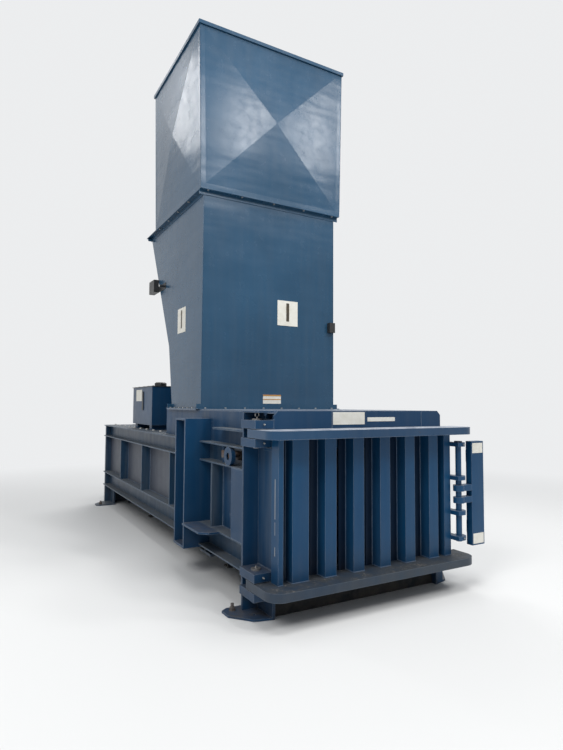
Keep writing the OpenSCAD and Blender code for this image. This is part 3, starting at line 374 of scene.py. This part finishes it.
def turned_ring(shape, place, middle_radius, wire_radius):
    """A round ring of round wire, spun about its own Z axis."""
    wire = bmesh.ops.create_circle(shape, segments=10, radius=wire_radius,
                                   matrix=Matrix.Translation((middle_radius, 0.0, 0.0))
                                   @ Matrix.Rotation(math.pi / 2, 4, "X"))
    edges = list({edge for vert in wire["verts"] for edge in vert.link_edges})
    before = set(shape.verts) - set(wire["verts"])
    bmesh.ops.spin(shape, geom=edges, cent=(0.0, 0.0, 0.0), axis=(0.0, 0.0, 1.0),
                   dvec=(0.0, 0.0, 0.0), angle=2 * math.pi, steps=24, use_merge=True)
    ring = [vert for vert in shape.verts if vert not in before]
    bmesh.ops.transform(shape, matrix=place, verts=ring)


# Weld seams

def weld_door():
    """Seams round the door's tubes and along the ends of its stiles."""
    shape = bmesh.new()
    ribs_low, ribs_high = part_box("door_ribs")
    face_y, front_y = ribs_high[1], ribs_low[1]
    foot_z, head_z = ribs_low[2], ribs_high[2]
    rib_count, pitch = 6, 0.255
    centre = (rib_count - 1) / 2
    for index in range(rib_count):
        middle = (index - centre) * pitch
        half = middle - ribs_low[0] if index == 0 else ribs_high[0] - centre * pitch
        for side in (-1, 1):
            edge = middle + side * half
            lay_weld(shape, (edge, face_y, foot_z), (edge, face_y, head_z), BEAD)
            for z in (foot_z, head_z):
                lay_weld(shape, (edge, front_y, z), (edge, face_y, z), BEAD)
        for z in (foot_z, head_z):
            lay_weld(shape, (middle - half, front_y, z), (middle + half, front_y, z), BEAD)
    stiles_low, stiles_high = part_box("door_stiles")
    hinge_stile_width, latch_stile_edge = 0.04, 0.758
    hinge_stile = (stiles_low[0], stiles_low[0] + hinge_stile_width)
    latch_stile = (latch_stile_edge, stiles_high[0])
    for left, right in (hinge_stile, latch_stile):
        for z in (foot_z, head_z):
            lay_weld(shape, (left, front_y, z), (right, front_y, z), BEAD)
    add_piece("door_weld_seams", shape, door_enamel, "door")


def weld_frame():
    """Seams of the front beam, and of the walls with their ribs, rails and columns."""
    shape = bmesh.new()
    beam_low, beam_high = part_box("front_top_beam")
    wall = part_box("side_wall_right")[1][0]
    rails_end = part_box("side_rails")[1][1]
    ribs_low, ribs_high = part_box("side_ribs")
    columns_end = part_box("mid_columns")[1][1]
    posts_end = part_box("front_post_left")[1][1]
    columns_start, rear_margin = 1.05, 0.28
    beam_seams = (-0.291, 0.619)
    rib_half = 0.01
    rib_middles = (0.79, 1.916, 2.978, 4.039)
    for x in beam_seams:
        lay_weld(shape, (x, beam_low[1], beam_low[2]), (x, beam_low[1], beam_high[2]), FINE_BEAD)
    for side in (-1, 1):
        x = side * wall
        out = side * ribs_high[0]
        for y in rib_middles:
            for face in (y - rib_half, y + rib_half):
                lay_weld(shape, (x, face, ribs_low[2]), (x, face, ribs_high[2]), BEAD)
                for z in (ribs_low[2], ribs_high[2]):
                    lay_weld(shape, (x, face, z), (out, face, z), BEAD)
        for start, end in ((posts_end, columns_start), (columns_end, rails_end - rear_margin)):
            for z in (ribs_low[2], ribs_high[2]):
                lay_weld(shape, (x, start, z), (x, end, z), BEAD)
        for y in (columns_start, columns_end):
            lay_weld(shape, (x, y, ribs_low[2]), (x, y, ribs_high[2]), HEAVY_BEAD)
    add_piece("frame_weld_seams", shape, frame_enamel, "frame")


def lug_bottoms(low, high):
    """Undersides of the four fixed hinge lugs, from the lowest up."""
    return low[2], 0.273, 1.201, high[2] - LUG_HEIGHT


def weld_hinges():
    """Seams where the hinge lugs stand on the left wall."""
    shape = bmesh.new()
    lugs_low, lugs_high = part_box("hinge_lugs")
    wall = lugs_high[0]
    for z in lug_bottoms(lugs_low, lugs_high):
        for edge in (z, z + LUG_HEIGHT):
            lay_weld(shape, (wall, lugs_low[1], edge), (wall, lugs_high[1], edge), HEAVY_BEAD)
    add_piece("hinge_weld_seams", shape, frame_enamel, "frame")


def weld_hopper():
    """Corner seams of the hopper's two sections."""
    shape = bmesh.new()
    low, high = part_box("lower_hopper")
    base_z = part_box("hopper_base_flange")[1][2]
    mid_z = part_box("hopper_mid_flange")[0][2]
    top_low, top_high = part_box("hopper_top_flange")
    corner_inset = 0.017
    for side in (-1, 1):
        x = side * high[0]
        lay_weld(shape, (x, low[1], base_z), (x, low[1], mid_z), FINE_BEAD)
        foot_of_upper = (side * 0.817, 1.345, 3.655)
        head = (side * (top_high[0] - corner_inset), top_low[1] + corner_inset, top_low[2])
        lay_weld(shape, foot_of_upper, head, FINE_BEAD)
    add_piece("hopper_weld_seams", shape, hopper_enamel, "frame")


# Plates and fasteners

def numeral(name, size, place):
    """The figure on a number plate, as a thin raised shape."""
    text = bpy.data.curves.new(name, "FONT")
    text.body = "1"
    text.size = size
    text.extrude = 0.0008
    text.offset = 0.004
    text.align_x = "CENTER"
    text.align_y = "CENTER"
    carrier = bpy.data.objects.new(name + "_carrier", text)
    mesh = bpy.data.meshes.new_from_object(carrier)
    mesh.name = name
    bpy.data.objects.remove(carrier)
    mesh.transform(place)
    mesh.materials.clear()
    mesh.materials.append(numeral_ink)
    piece = bpy.data.objects.new(name, mesh)
    bpy.context.scene.collection.objects.link(piece)
    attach(piece, "frame")


def number_the_plates():
    """The numeral on the hopper's front plate and on its left one."""
    low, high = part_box("number_plates")
    half_width, half_height, proud, size = 0.122, 0.132, 0.0006, 0.27
    front_middle = (high[0] - half_width, low[1] - proud, high[2] - half_height)
    side_middle = (low[0] - proud, high[1] - half_width, low[2] + half_height)
    upright = Matrix.Rotation(math.pi / 2, 4, "X")
    numeral("front_numeral", size, Matrix.Translation(front_middle) @ upright)
    facing_left = Matrix.Rotation(-math.pi / 2, 4, "Z") @ upright
    numeral("side_numeral", size, Matrix.Translation(side_middle) @ facing_left)


def front_plate(shape, left, right, bottom, top, behind):
    """A thin plate that faces forward, on the surface behind it."""
    flat_plate(shape, (left, behind - PLATE_THICKNESS, bottom), (right, behind, top))


def blank_plates():
    """Thin plain plates on the beam, the hopper, the tank and the latch bar."""
    beam_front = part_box("front_top_beam")[0][1]
    hopper_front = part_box("lower_hopper")[0][1]
    tank_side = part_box("oil_tank")[0][0]
    hopper_left, hopper_right = -0.099, 0.110
    frame_plates = bmesh.new()
    front_plate(frame_plates, left=-0.282, right=0.020, bottom=1.352, top=1.448,
                behind=beam_front)
    front_plate(frame_plates, left=0.048, right=0.330, bottom=1.374, top=1.406,
                behind=beam_front)
    front_plate(frame_plates, left=hopper_left, right=hopper_right, bottom=1.512, top=1.604,
                behind=hopper_front)
    tank_plate_low = (tank_side - PLATE_THICKNESS, 3.56, 1.54)
    tank_plate_high = (tank_side, 3.84, 1.69)
    flat_plate(frame_plates, tank_plate_low, tank_plate_high)
    add_piece("blank_plates", frame_plates, white_plate, "frame")
    bands = bmesh.new()
    upper_band, lower_band = (1.590, 1.604), (1.552, 1.560)
    for bottom, top in (upper_band, lower_band):
        flat_plate(bands, (hopper_left, hopper_front - 2 * PLATE_THICKNESS, bottom),
                   (hopper_right, hopper_front - PLATE_THICKNESS, top))
    add_piece("plate_bands", bands, amber_band, "frame")
    bar_low, bar_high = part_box("latch_bar")
    margin, plate_height = 0.01, 0.085
    upper_foot, lower_foot = bar_high[2] - 0.10, bar_low[2] + 0.012
    latch_plates = bmesh.new()
    for bottom in (upper_foot, lower_foot):
        front_plate(latch_plates, left=bar_low[0] + margin, right=bar_high[0] - margin,
                    bottom=bottom, top=bottom + plate_height, behind=bar_low[1])
    add_piece("latch_bar_plates", latch_plates, white_plate, "latch")


def spread(start, end, pitch):
    """Even places from start to end, about a pitch apart."""
    gaps = max(1, round((end - start) / pitch))
    return [start + (end - start) * index / gaps for index in range(gaps + 1)]


def scale_to(width):
    return Matrix.Diagonal((width, width, width, 1.0))


def cover_bolts():
    """Bolts along the edges of the ram housing's cover and the tank's lid."""
    shape = bmesh.new()
    low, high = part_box("housing_cover")
    cover_width, cover_margin, cover_pitch = 0.03, 0.045, 0.29
    first_y, last_y = 2.44, high[1] - 0.06
    for x in (low[0] + cover_margin, high[0] - cover_margin):
        for y in spread(first_y, last_y, cover_pitch):
            stamp(shape, hex_bolt, Matrix.Translation((x, y, high[2])) @ scale_to(cover_width))
    lid_low, lid_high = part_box("tank_fittings")
    lid_width, lid_margin, lid_pitch, lid_thickness = 0.018, 0.03, 0.21, 0.008
    lid_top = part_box("oil_tank")[1][2] + lid_thickness
    for x in (lid_low[0] + lid_margin, lid_high[0] - lid_margin):
        for y in spread(lid_low[1] + lid_margin, lid_high[1] - lid_margin, lid_pitch):
            stamp(shape, hex_bolt, Matrix.Translation((x, y, lid_top)) @ scale_to(lid_width))
    add_piece("cover_bolts", shape, zinc_plating, "frame")


def liner_nuts():
    """Nuts outside the chamber walls, on the bolts that hold the liners."""
    shape = bmesh.new()
    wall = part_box("side_wall_right")[1][0]
    nut_width, rows = 0.036, (0.6, 0.86)
    for side in (-1, 1):
        outward = (side, 0.0, 0.0)
        for y in (0.45, 0.6, 0.93, 1.45, 1.7, 2.1):
            for z in rows:
                stamp(shape, hex_bolt, aim((side * wall, y, z), outward) @ scale_to(nut_width))
    add_piece("liner_nuts", shape, frame_enamel, "frame")


def grease_nipple(shape, spot, direction):
    """A small ball-headed nipple on a hexagon foot."""
    place = aim(spot, direction)
    bmesh.ops.create_cone(shape, cap_ends=True, segments=6, radius1=0.007, radius2=0.007,
                          depth=0.008, matrix=place @ Matrix.Translation((0.0, 0.0, 0.004)))
    bmesh.ops.create_cone(shape, cap_ends=True, segments=12, radius1=0.005, radius2=0.003,
                          depth=0.008, matrix=place @ Matrix.Translation((0.0, 0.0, 0.012)))
    bmesh.ops.create_uvsphere(shape, u_segments=12, v_segments=8, radius=0.004,
                              matrix=place @ Matrix.Translation((0.0, 0.0, 0.017)))


def grease_nipples():
    """Grease nipples on the hinge lugs and on the outer lugs of the latch."""
    forward = (0.0, -1.0, 0.0)
    hinge_x, latch_x, half_latch_lug = -0.872, 0.89, 0.017
    hinge_shape = bmesh.new()
    lugs_low, lugs_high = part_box("hinge_lugs")
    for z in lug_bottoms(lugs_low, lugs_high):
        grease_nipple(hinge_shape, (hinge_x, lugs_low[1], z + LUG_HEIGHT / 2), forward)
    add_piece("hinge_grease_nipples", hinge_shape, zinc_plating, "frame")
    latch_shape = bmesh.new()
    lugs_low, lugs_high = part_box("door_latch_lugs")
    for z in (lugs_low[2] + half_latch_lug, lugs_high[2] - half_latch_lug):
        grease_nipple(latch_shape, (latch_x, lugs_low[1], z), forward)
    add_piece("latch_grease_nipples", latch_shape, zinc_plating, "door")


def pin_lifting_eye():
    """The ring in the top of the upper hinge pin, by which it is drawn."""
    shape = bmesh.new()
    low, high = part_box("hinge_pins")
    rise = 0.012
    middle = Vector(((low[0] + high[0]) / 2, (low[1] + high[1]) / 2, high[2] + rise))
    facing = Matrix.Translation(middle) @ Matrix.Rotation(math.pi / 2, 4, "X")
    turned_ring(shape, facing, middle_radius=0.015, wire_radius=0.004)
    add_piece("hinge_pin_eye", shape, zinc_plating, "frame")


def door_light_streak():
    """A painted streak of light down the hinge side of the door, laid as thin strips of bright
    metal.
    """
    shape = bmesh.new()
    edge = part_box("door_stiles")[0][0]
    line_y, proud = -0.168, 0.0006
    long_streak, middle_streak, short_streak = (0.71, 0.985, 0.0035), (0.60, 0.69, 0.002), (0.46, 0.52, 0.003)
    for low, high, half in (long_streak, middle_streak, short_streak):
        flat_plate(shape, (edge - proud, line_y - half, low), (edge, line_y + half, high))
    add_piece("door_light_streak", shape, zinc_plating, "door")


def eye_bezels():
    """Bezels on the two housings that look across the hopper."""
    rims = bmesh.new()
    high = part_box("photo_eyes")[1]
    from_rear, from_top, inward = 0.1, 0.045, 0.003
    for side in (-1, 1):
        spot = (side * high[0], high[1] - from_rear, high[2] - from_top)
        place = Matrix.Translation(spot) @ Matrix.Rotation(math.pi / 2, 4, "Y")
        turned_ring(rims, place @ Matrix.Translation((0.0, 0.0, -side * inward)),
                    middle_radius=0.022, wire_radius=0.0028)
    add_piece("eye_bezels", rims, zinc_plating, "frame")


# Camera, lights and floor

def place_camera():
    """The camera that took the photograph, as solved from its straight edges."""
    yaw, pitch, roll = (math.radians(angle) for angle in (29.644, 3.1976, 0.312))
    ahead = Vector((math.sin(yaw) * math.cos(pitch), math.cos(yaw) * math.cos(pitch),
                    math.sin(pitch)))
    level = Vector((math.cos(yaw), -math.sin(yaw), 0.0))
    upright = level.cross(ahead)
    right = level * math.cos(roll) + upright * math.sin(roll)
    up = upright * math.cos(roll) - level * math.sin(roll)
    data = bpy.data.cameras.new("photo_camera")
    data.sensor_width = 36.0
    data.lens = 25.74
    data.clip_end = 200.0
    camera = bpy.data.objects.new("photo_camera", data)
    turn = Matrix((right, up, -ahead)).transposed().to_4x4()
    camera.matrix_world = Matrix.Translation((-2.64, -3.45, 1.5)) @ turn
    bpy.context.scene.collection.objects.link(camera)
    bpy.context.scene.camera = camera


def area_light(name, spot, target, size, power):
    """A rectangular light that looks at a target."""
    data = bpy.data.lights.new(name, "AREA")
    data.shape = "RECTANGLE"
    data.size, data.size_y = size
    data.energy = power
    light = bpy.data.objects.new(name, data)
    light.location = spot
    light.rotation_euler = (Vector(target) - Vector(spot)).to_track_quat("-Z", "Y").to_euler()
    bpy.context.scene.collection.objects.link(light)


def seen_directly(tree, links):
    """One where the camera, a glossy surface or glass looks, and nought elsewhere."""
    path = tree.new("ShaderNodeLightPath")
    total = path.outputs["Is Camera Ray"]
    for name in ("Is Glossy Ray", "Is Transmission Ray"):
        node = tree.new("ShaderNodeMath")
        node.operation = "MAXIMUM"
        links.new(total, node.inputs[0])
        links.new(path.outputs[name], node.inputs[1])
        total = node.outputs["Value"]
    return total


def floor_material():
    """A pale floor that melts into the backdrop away from the machine."""
    material = bpy.data.materials.new("pale_floor")
    material.use_nodes = True
    tree, links = material.node_tree.nodes, material.node_tree.links
    shader = tree["Principled BSDF"]
    shader.inputs["Base Color"].default_value = (*FLOOR_GREY, 1.0)
    shader.inputs["Roughness"].default_value = 0.8
    shader.inputs["Specular IOR Level"].default_value = 0.2
    glow = tree.new("ShaderNodeEmission")
    glow.inputs["Color"].default_value = (*BACKDROP, 1.0)
    coordinates = tree.new("ShaderNodeTexCoord")
    reach = tree.new("ShaderNodeVectorMath")
    reach.operation = "DISTANCE"
    links.new(coordinates.outputs["Object"], reach.inputs[0])
    under_machine, near, far = (0.0, 2.0, 0.0), 3.6, 9.0
    reach.inputs[1].default_value = under_machine
    fade = tree.new("ShaderNodeMapRange")
    fade.interpolation_type = "SMOOTHSTEP"
    fade.inputs["From Min"].default_value = near
    fade.inputs["From Max"].default_value = far
    links.new(reach.outputs["Value"], fade.inputs["Value"])
    factor = tree.new("ShaderNodeMath")
    factor.operation = "MULTIPLY"
    links.new(fade.outputs["Result"], factor.inputs[0])
    links.new(seen_directly(tree, links), factor.inputs[1])
    blend = tree.new("ShaderNodeMixShader")
    links.new(factor.outputs["Value"], blend.inputs["Fac"])
    links.new(shader.outputs["BSDF"], blend.inputs[1])
    links.new(glow.outputs["Emission"], blend.inputs[2])
    links.new(blend.outputs["Shader"], tree["Material Output"].inputs["Surface"])
    return material


def lay_floor():
    """A wide floor just under the machine's feet."""
    shape = bmesh.new()
    bmesh.ops.create_grid(shape, x_segments=1, y_segments=1, size=80.0,
                          matrix=Matrix.Translation((0.0, 0.0, -0.0005)))
    mesh = close_mesh("floor", shape)
    mesh.materials.append(floor_material())
    floor = bpy.data.objects.new("floor", mesh)
    bpy.context.scene.collection.objects.link(floor)


def light_world():
    """A soft, cool sky light that the camera sees as the plain backdrop."""
    world = bpy.context.scene.world or bpy.data.worlds.new("studio")
    bpy.context.scene.world = world
    world.use_nodes = True
    tree, links = world.node_tree.nodes, world.node_tree.links
    background = tree["Background"]
    background.inputs["Color"].default_value = (0.9, 0.94, 1.0, 1.0)
    background.inputs["Strength"].default_value = 0.34
    seen = tree.new("ShaderNodeBackground")
    seen.inputs["Color"].default_value = (*BACKDROP, 1.0)
    seen.inputs["Strength"].default_value = 1.0
    blend = tree.new("ShaderNodeMixShader")
    links.new(seen_directly(tree, links), blend.inputs["Fac"])
    links.new(background.outputs["Background"], blend.inputs[1])
    links.new(seen.outputs["Background"], blend.inputs[2])
    links.new(blend.outputs["Shader"], tree["World Output"].inputs["Surface"])


dress_cad_nodes()
weld_door()
weld_frame()
weld_hinges()
weld_hopper()
number_the_plates()
blank_plates()
cover_bolts()
liner_nuts()
grease_nipples()
pin_lifting_eye()
door_light_streak()
eye_bezels()
bpy.data.meshes.remove(weld_metal)
bpy.data.meshes.remove(hex_bolt)

place_camera()
lay_floor()
light_world()
machine_middle = (0.0, 1.5, 2.0)
hopper_front = (0.0, 1.3, 3.5)
area_light("overhead_softbox", (0.5, -1.0, 11.5), (0.0, 0.6, 1.0), (6.0, 5.0), 640.0)
area_light("left_softbox", (-6.5, -3.0, 7.5), machine_middle, (4.0, 4.0), 390.0)
area_light("front_strip_left", (2.5, -6.0, 8.3), hopper_front, (1.0, 1.8), 190.0)
area_light("front_strip_right", (5.2, -4.8, 8.3), hopper_front, (1.0, 1.8), 150.0)
area_light("rear_softbox", (3.5, 8.5, 8.0), machine_middle, (5.0, 5.0), 330.0)
area_light("rear_strip", (-3.8, 7.8, 8.3), (-0.85, 1.5, 4.4), (0.8, 2.0), 45.0)

bpy.context.scene.view_settings.view_transform = "Standard"
